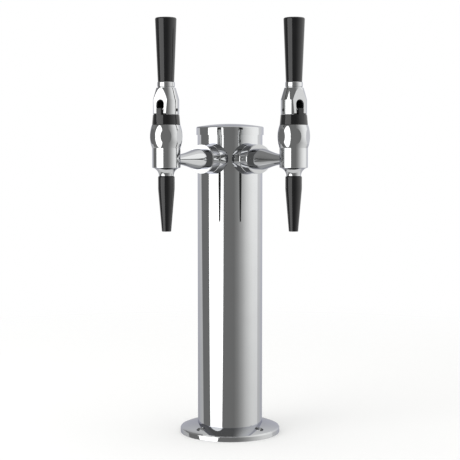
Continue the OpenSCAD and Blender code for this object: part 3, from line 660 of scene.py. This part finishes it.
def on_arm(side):
    """Place of pieces turned about an arm, with distances from the column axis"""
    lift = Matrix.Translation((0, 0, shank_height(side)))
    return lift @ arm_turn(side) @ Matrix.Rotation(math.pi / 2, 4, "Y")


class TOWER_OT_base_flange(Operator):
    """Turn the sloped base flange and sink its bolt holes"""
    bl_idname = "tower.base_flange"
    bl_label = "Base flange"

    def execute(self, context):
        size = context.scene.tower.flange
        rim_r = half_width("base_flange")
        column_r = half_width("column")
        hub = heights("base_flange")[1]
        slope = math.atan2(hub - size.rim, rim_r - column_r)
        half = math.hypot(hub - size.rim, rim_r - column_r) / 2
        swell_r = arc_radius(half, size.crown)
        sweep = math.asin(half / swell_r)
        upright = math.pi / 2 - slope
        edge = arc((rim_r - size.edge, size.rim - size.edge), size.edge, 0, upright - sweep,
                   steps=10)
        middle = Vector(((rim_r + column_r) / 2, (hub + size.rim) / 2))
        centre = middle - (swell_r - size.crown) * Vector((math.cos(upright), math.sin(upright)))
        face = arc(centre, swell_r, upright - FACE_SHARE * sweep, upright + sweep, steps=32)
        seat = size.rim - size.socket
        solid = turned(softened(
            [(size.passage, 0), (rim_r, 0)] + edge + face[:-1]
            + [(column_r, hub), (column_r, seat), (size.passage, seat)]))
        head_r, hole_r = size.bolt_head / 2, size.bolt_hole / 2
        sink = size.rim + (rim_r - size.bolt_circle - head_r) * math.tan(slope)
        tools = []
        for i in range(size.bolts):
            tool = turned([(0, -hub), (hole_r, -hub), (hole_r, sink - head_r + hole_r),
                           (head_r, sink), (head_r, 2 * hub), (0, 2 * hub)], HOLE_FACETS)
            tool.transform(Matrix.Rotation(2 * math.pi * (i + 0.5) / size.bolts, 4, "Z")
                           @ Matrix.Translation((size.bolt_circle, 0, 0)))
            tools.append(tool)
        piece(context, "flange_disc", worked(solid, *tools), Matrix(), "polished_steel", "tower",
              "base_flange")
        return {"FINISHED"}


class TOWER_OT_column(Operator):
    """Draw the column's tube"""
    bl_idname = "tower.column"
    bl_label = "Column"

    def execute(self, context):
        outer = half_width("column")
        inner = outer - context.scene.tower.column.wall
        foot, top = heights("column")
        solid = turned(softened([(inner, foot), (outer, foot), (outer, top), (inner, top)]),
                       WIDE_FACETS)
        piece(context, "column_tube", solid, Matrix(), "polished_steel", "tower", "column")
        return {"FINISHED"}


class TOWER_OT_cap(Operator):
    """Spin the domed cap"""
    bl_idname = "tower.cap"
    bl_label = "Cap"

    def execute(self, context):
        size = context.scene.tower.column
        outer = half_width("top_cap")
        low, top = heights("top_cap")
        dome = top - size.crown
        edge_r = outer - size.cap_edge
        reach = size.crown - size.cap_edge
        rim = math.pi / 2 - math.asin(edge_r / reach)
        edge = arc((edge_r, dome + math.sqrt(reach ** 2 - edge_r ** 2)), size.cap_edge, 0, rim,
                   steps=12)
        crown = arc((0, dome), size.crown, rim, math.pi / 2, steps=24)
        inner = half_width("column") - size.cap_wall
        hollow_r = size.crown - size.cap_wall
        hollow = arc((0, dome), hollow_r, math.pi / 2, math.pi / 2 - math.asin(inner / hollow_r),
                     steps=16)
        skirt = outer - size.cap_wall
        ledge = heights("column")[1] + size.lip
        solid = turned(softened(
            [(skirt, low), (outer, low), (outer, low + SHARP)] + edge + crown[1:-1]
            + [(0, top), (0, top - size.cap_wall)] + hollow[1:]
            + [(inner, ledge), (skirt, ledge)]), WIDE_FACETS)
        piece(context, "cap_dome", solid, Matrix(), "polished_steel", "cap", "top_cap")
        return {"FINISHED"}


class TOWER_OT_arms(Operator):
    """Turn the shank collars and the coupling nuts that hold the faucets"""
    bl_idname = "tower.arms"
    bl_label = "Shank collars and coupling nuts"

    def execute(self, context):
        size = context.scene.tower.arm
        column_r = half_width("column")
        column_top = heights("column")[1]
        # A collar starts inside the column and is cut to the column's round
        inside = column_r / 2
        collar_end = column_r + size.collar_len
        nut = collar_end + size.gap
        nut_end = nut + size.nut_len
        nut_face = size.nut - size.chamfer
        for side in SIDES:
            collar = turned(softened([
                (size.hole, inside), (size.saddle, inside), (size.saddle, column_r),
                (size.collar_end, collar_end - size.chamfer),
                (size.collar_end - size.chamfer, collar_end), (size.hole, collar_end)]))
            collar.transform(on_arm(side))
            core = turned([(0, 0), (column_r, 0), (column_r, column_top), (0, column_top)],
                          WIDE_FACETS)
            piece(context, side + "_collar_ring", worked(collar, core), Matrix(),
                  "polished_steel", "tower", side + "_shank_collar")
            ring = turned(softened([
                (size.hole, nut), (nut_face, nut), (size.nut, nut + size.chamfer),
                (size.nut, nut_end - size.chamfer), (nut_face, nut_end), (size.hole, nut_end)]))
            piece(context, side + "_nut_ring", ring, on_arm(side), "polished_steel", "tower",
                  side + "_coupling_nut")
        return {"FINISHED"}


class TOWER_OT_faucet_bodies(Operator):
    """Turn each faucet's barrel and tail, mill the wrench flats and join the two"""
    bl_idname = "tower.faucet_bodies"
    bl_label = "Faucet bodies"

    def execute(self, context):
        for side in SIDES:
            barrel = self.barrel(context.scene.tower.body, shank_height(side))
            barrel.transform(on_faucet(side))
            tail = self.tail(context.scene.tower, faucet_axis(side).xy.length)
            tail.transform(on_arm(side))
            piece(context, side + "_body_barrel", worked(barrel, tail, join=True), Matrix(),
                  "polished_steel", "tower", side + "_faucet_body")
        return {"FINISHED"}

    def barrel(self, size, shank):
        """The barrel with its bulb, its wrench flats, its hollowed neck and its nipple"""
        foot = shank - size.below
        bulb = shank + size.above
        top = bulb + size.bulb
        neck = foot - size.neck
        tip = neck - size.nipple_len
        half = size.bulb / 2
        bulge = arc_radius(half, size.swell)
        sweep = math.asin(half / bulge)
        belly = arc((size.barrel + size.swell - bulge, bulb + half), bulge, -sweep, sweep,
                    steps=32)
        cove_r = arc_radius(size.neck, size.neck_top - size.neck_end)
        cove = arc((size.neck_end + cove_r, neck), cove_r, math.pi,
                   math.pi - math.asin(size.neck / cove_r), steps=20)
        solid = turned(softened(
            [(0, tip), (size.nipple, tip), (size.nipple, neck)] + cove
            + [(size.barrel, foot + size.bevel / 2)] + belly + [(0, top)]), WIDE_FACETS)
        wide = size.barrel + size.swell
        tools = []
        for i in range(size.flats):
            tool = block((wide - size.flat, -wide, bulb), (2 * wide, wide, top))
            turn = math.pi * (2 * i + 1) / size.flats + size.flat_turn
            tool.transform(Matrix.Rotation(turn, 4, "Z"))
            tools.append(tool)
        return worked(solid, *tools)

    def tail(self, tower, reach):
        """The tail, which draws in from its rim to the barrel"""
        size, arm = tower.body, tower.arm
        start = half_width("column") + arm.collar_len + arm.nut_len + 2 * arm.gap
        face = start + size.rim_len
        flare = eased(
            (size.root, face + size.root_len), (size.tail_end, reach - size.barrel), steps=40,
            ease=lambda share: (1 - math.cos(math.pi * share ** FLARE_POWER)) / 2)
        return turned(softened(
            [(0, start), (size.rim, start), (size.rim, face), (size.root + SHARP, face),
             (size.root, face)] + flare + [(size.tail_end, reach), (0, reach)]))


class TOWER_OT_guide_collars(Operator):
    """Mould the black guide collars with their tongues and stop blocks"""
    bl_idname = "tower.guide_collars"
    bl_label = "Guide collars"

    def execute(self, context):
        size = context.scene.tower.collar
        barrel_r = context.scene.tower.body.barrel
        half = size.tongue_width / 2
        start = half + size.stop_space
        end = math.sqrt(size.top ** 2 - size.front ** 2)
        for side in SIDES:
            foot = heights(side + "_faucet_body")[1]
            top = foot + size.height
            root = foot + size.height / 2
            plug = heights(side + "_guide_collar")[0]
            solid = turned(softened(
                [(size.stem_hole, plug), (size.plug, plug), (size.plug, foot), (barrel_r, foot),
                 (size.top, top), (size.stem_hole, top)], size.edge))
            tongue = block((size.front, -half, root),
                           (size.front + size.tongue_depth, half, top + size.tongue_rise))
            bmesh.ops.bevel(tongue, geom=tongue.edges[:], offset=size.tongue_edge, segments=3,
                            affect="EDGES")
            stops = []
            for way in (-1, 1):
                outline = [(size.front, way * start)]
                for i in range(STOP_STEPS + 1):
                    y = start + (end - start) * i / STOP_STEPS
                    outline.append((math.sqrt(size.top ** 2 - y ** 2), way * y))
                stops.append(pushed(outline, root, top + size.stop_rise))
            piece(context, side + "_collar_guide", worked(solid, tongue, *stops, join=True),
                  on_faucet(side), "black_plastic", "tower", side + "_guide_collar")
        return {"FINISHED"}


class TOWER_OT_levers(Operator):
    """Turn the lever bonnets, mill their flats and windows, and turn the pins and ferrules"""
    bl_idname = "tower.levers"
    bl_label = "Lever bonnets, pins and ferrules"

    def execute(self, context):
        size = context.scene.tower.lever
        half, slot = size.window / 2, size.slot / 2
        seat = size.pin_end - size.pin_head
        groove = size.groove
        for side in SIDES:
            low, top = heights(side + "_lever_bonnet")
            pin = faucet_axis(side).z
            shoulder = eased((size.side, low + size.side_rise), (size.top, top), steps=20,
                             ease=lambda share: share ** SHOULDER_POWER)
            solid = turned(softened([(0, low), (size.side, low)] + shoulder + [(0, top)]))
            flat = block((0, -size.side, -size.side), (size.side, size.side, 2 * (top - low)))
            flat.transform(Matrix.Translation((size.flat, 0, low))
                           @ Matrix.Rotation(-size.lean, 4, "Y"))
            spring = pin + size.window_rise / 2
            window = pushed(
                [(-slot, low - size.side), (slot, low - size.side), (slot, pin), (half, spring)]
                + arc((0, pin + size.window_rise), half, 0, math.pi, steps=32)
                + [(-half, spring), (-slot, pin)], size.side, -size.pocket)
            window.transform(ALONG_X)
            hole = turned(spool(2 * size.side, size.pin_head, seat, size.pin), PIN_FACETS)
            rod = turned(softened(spool(
                size.pin_end, size.pin_head - size.play, seat + size.play, size.pin - size.play),
                size.edge), PIN_FACETS)
            for item in (hole, rod):
                item.transform(across(pin))
            piece(context, side + "_pin_rod", rod, on_faucet(side), "black_steel",
                  side + "_lever", side + "_pivot_pin")
            piece(context, side + "_bonnet_shell", worked(solid, flat, window, hole),
                  on_faucet(side), "polished_steel", side + "_lever", side + "_lever_bonnet")
            foot, head = heights(side + "_ferrule")
            ring_r = half_width(side + "_ferrule")
            ring = turned(softened([
                (size.stud, foot), (ring_r - groove, foot), (ring_r - groove, foot + 2 * groove),
                (ring_r, foot + 3 * groove), (ring_r, head - groove), (ring_r - groove, head),
                (size.stud, head)], size.edge))
            piece(context, side + "_ferrule_ring", ring, on_faucet(side), "polished_steel",
                  side + "_lever", side + "_ferrule")
        return {"FINISHED"}


class TOWER_OT_handles(Operator):
    """Mould the tapered black handles"""
    bl_idname = "tower.handles"
    bl_label = "Handles"

    def execute(self, context):
        size = context.scene.tower.handle
        stud = context.scene.tower.lever.stud
        for side in SIDES:
            low, top = heights(side + "_handle")
            stud_top = heights(side + "_handle_stud")[1]
            flat_r = half_width(side + "_handle") - size.edge
            edge = arc((flat_r, top - size.dome - size.edge), size.edge, 0, math.pi / 2, steps=12)
            dome_r = arc_radius(flat_r, size.dome)
            dome = arc((0, top - dome_r), dome_r, math.pi / 2 - math.asin(flat_r / dome_r),
                       math.pi / 2, steps=16)
            solid = turned(softened(
                [(stud, low), (size.low, low)] + edge + dome[1:-1]
                + [(0, top), (0, stud_top), (stud, stud_top)], size.low_edge))
            piece(context, side + "_handle_grip", solid, on_faucet(side), "black_plastic",
                  side + "_lever", side + "_handle")
        return {"FINISHED"}


class TOWER_OT_spouts(Operator):
    """Mould the tapered black spouts"""
    bl_idname = "tower.spouts"
    bl_label = "Spouts"

    def execute(self, context):
        size = context.scene.tower.spout
        for side in SIDES:
            tip, top = heights(side + "_spout")
            wide = half_width(side + "_spout")
            disc = heights(side + "_restrictor_disc")[0]
            seal = heights(side + "_spout_seal")[0]
            edge = arc((wide - size.edge, top - size.edge), size.edge, 0, math.pi / 2, steps=10)
            solid = turned(softened(
                [(size.bore, tip), (size.tip, tip), (wide, top - size.straight)] + edge
                + [(size.seal, top), (size.seal, seal), (size.socket, seal), (size.socket, disc),
                   (size.bore, disc)]))
            piece(context, side + "_spout_nozzle", solid, on_faucet(side), "black_plastic",
                  "tower", side + "_spout")
        return {"FINISHED"}


class TOWER_OT_inner_pieces(Operator):
    """Give the pieces that stay as the CAD made them their finishes"""
    bl_idname = "tower.inner_pieces"
    bl_label = "Inner pieces"

    def execute(self, context):
        kinds = {
            "cap_ring": "rubber", "tail_gasket": "rubber", "stem_packing": "rubber",
            "seat_washer": "rubber", "spout_seal": "rubber",
            "saddle_washer": "white_plastic", "flow_straightener": "white_plastic",
            "window_liner": "black_plastic", "valve_stem": "polished_steel",
        }
        for name, item in frame["nodes"].items():
            plain = name.removeprefix("left_").removeprefix("right_")
            finish = finish_for(context, kinds.get(plain, "turned_steel"))
            if not item.material_slots:
                item.data.materials.append(finish)
            for place in item.material_slots:
                place.material = finish
        return {"FINISHED"}


class TOWER_OT_stage(Operator):
    """Set the floor, the studio light and the camera"""
    bl_idname = "tower.stage"
    bl_label = "Stage"

    def execute(self, context):
        scene = context.scene
        stage = scene.tower.stage
        scene.view_settings.view_transform = "Standard"

        world = bpy.data.worlds.new("white_studio")
        world.use_nodes = True
        world.node_tree.nodes.clear()
        sky = add_node(world.node_tree, "ShaderNodeBackground", inputs={
            "Color": (1.0, 1.0, 1.0, 1.0), "Strength": 1.0})
        add_node(world.node_tree, "ShaderNodeOutputWorld", inputs={
            "Surface": sky.outputs["Background"]})
        scene.world = world

        self.floor(scene.tower)
        self.wall(scene.tower)

        # An oval softbox, a little taller than wide, in front and to the left
        light = bpy.data.lights.new("softbox", "AREA")
        light.shape = "ELLIPSE"
        light.size = 2 * stage.softbox * math.tan(stage.softbox_wide)
        light.size_y = 2 * stage.softbox * math.tan(stage.softbox_tall)
        light.energy = stage.power
        lamp = bpy.data.objects.new("softbox", light)
        centre = Vector((0, 0, stage.softbox_rise))
        away = Vector((-math.sin(stage.softbox_turn), -math.cos(stage.softbox_turn), 0))
        lamp.location = centre + stage.softbox * away
        lamp.rotation_euler = (centre - lamp.location).to_track_quat("-Z", "Y").to_euler()
        lamp.visible_camera = False
        scene.collection.objects.link(lamp)

        view = bpy.data.cameras.new("front_view")
        view.sensor_width = 36.0
        view.lens = stage.lens
        camera = bpy.data.objects.new("front_view", view)
        camera.location = (0, -stage.distance, stage.height)
        camera.rotation_euler = (math.pi / 2 - stage.pitch, 0, 0)
        scene.collection.objects.link(camera)
        scene.camera = camera
        return {"FINISHED"}

    def floor(self, tower):
        """A round painted floor that keeps out of reflections"""
        disc = bmesh.new()
        bmesh.ops.create_circle(disc, cap_ends=True, radius=tower.stage.floor,
                                segments=FLOOR_STEPS)
        item = placed("floor", disc, new_material(matt_painted_floor, tower))
        item.visible_glossy = False

    def wall(self, tower):
        """A round wall that shows only in reflections"""
        stage = tower.stage
        turns = [2 * math.pi * i / WALL_STEPS for i in range(WALL_STEPS)]
        curve = bmesh.new()
        low, high = [
            [curve.verts.new((stage.wall * math.sin(t), -stage.wall * math.cos(t), height))
             for t in turns] for height in (-stage.wall_foot, stage.wall_top)]
        for i in range(WALL_STEPS):
            curve.faces.new((low[i], low[i - 1], high[i - 1], high[i]))
        item = placed("studio_wall", curve, new_material(graded_studio_wall, tower))
        item.visible_camera = False
        item.visible_diffuse = False
        item.visible_shadow = False


class TOWER_PT_panel(Panel):
    """Lists the steps that finish the drink tower"""
    bl_idname = "TOWER_PT_panel"
    bl_label = "Drink tower"
    bl_space_type = "VIEW_3D"
    bl_region_type = "UI"
    bl_category = "Drink tower"

    def draw(self, context):
        for step in STEPS:
            self.layout.operator(step.bl_idname)


STEPS = (
    TOWER_OT_stage, TOWER_OT_base_flange, TOWER_OT_column, TOWER_OT_cap, TOWER_OT_arms,
    TOWER_OT_faucet_bodies, TOWER_OT_guide_collars, TOWER_OT_levers, TOWER_OT_handles,
    TOWER_OT_spouts, TOWER_OT_inner_pieces,
)
GROUPS = (
    FlangeSizes, ColumnSizes, ArmSizes, BodySizes, CollarSizes, LeverSizes, HandleSizes,
    SpoutSizes, FinishSettings, StageSettings, TowerSettings,
)
CLASSES = GROUPS + STEPS + (TOWER_PT_panel,)


def register():
    for item in CLASSES:
        bpy.utils.register_class(item)
    bpy.types.Scene.tower = PointerProperty(type=TowerSettings)


def unregister():
    del bpy.types.Scene.tower
    for item in reversed(CLASSES):
        bpy.utils.unregister_class(item)


def main():
    """Finish the tower piece by piece"""
    register()
    bpy.ops.tower.stage()
    bpy.ops.tower.base_flange()
    bpy.ops.tower.column()
    bpy.ops.tower.cap()
    bpy.ops.tower.arms()
    bpy.ops.tower.faucet_bodies()
    bpy.ops.tower.guide_collars()
    bpy.ops.tower.levers()
    bpy.ops.tower.handles()
    bpy.ops.tower.spouts()
    bpy.ops.tower.inner_pieces()


if __name__ == "__main__":
    main()
